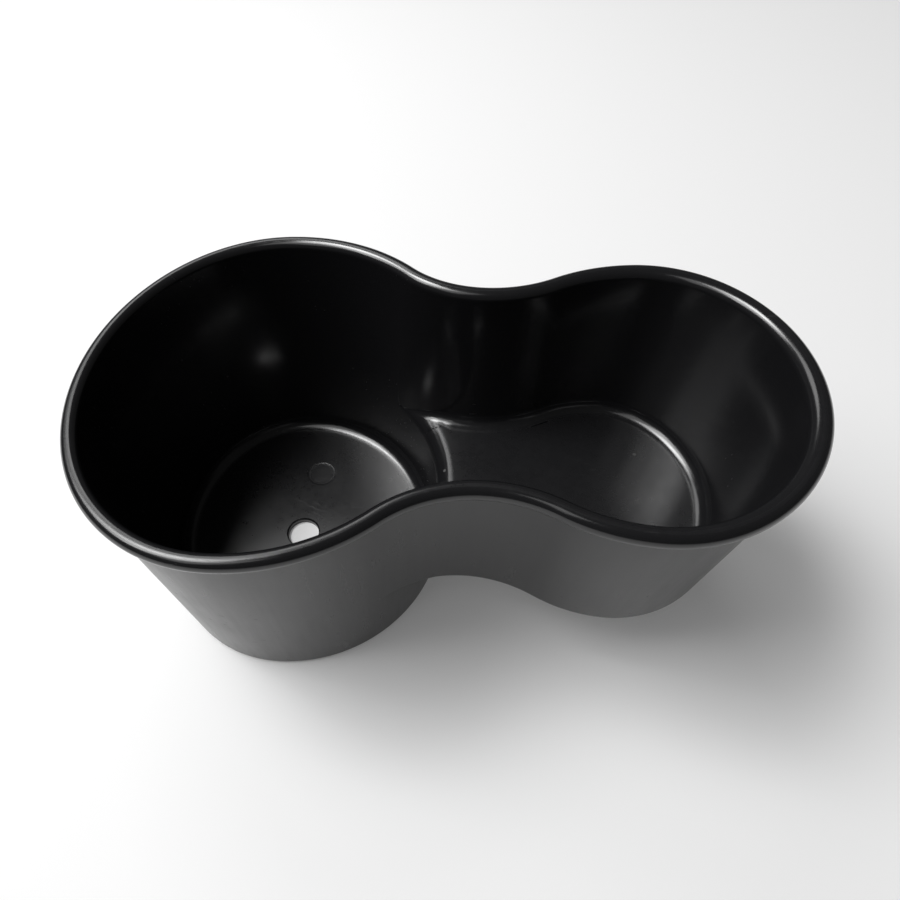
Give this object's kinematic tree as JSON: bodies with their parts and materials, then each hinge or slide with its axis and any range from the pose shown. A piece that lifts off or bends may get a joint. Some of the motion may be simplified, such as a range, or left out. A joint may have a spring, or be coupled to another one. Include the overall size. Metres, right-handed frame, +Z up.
{
  "type": "double cup holder insert",
  "caption": "One-piece black plastic console insert with a deep cup, a shallower cup, a waist between them and one rolled rim.",
  "frame": {"origin": "under the middle of the overall box, at the level of the deep cup's foot", "axes": "+X from the deep cup to the shallow cup, +Y across the cups, +Z up, out of their mouths"},
  "size_m": [0.18, 0.113, 0.079],
  "materials": {
    "black_plastic": "glossy inside and on the rim, satin outside"
  },
  "bodies": {
    "root": {"holder_body": "black_plastic"}
  },
  "joints": []
}
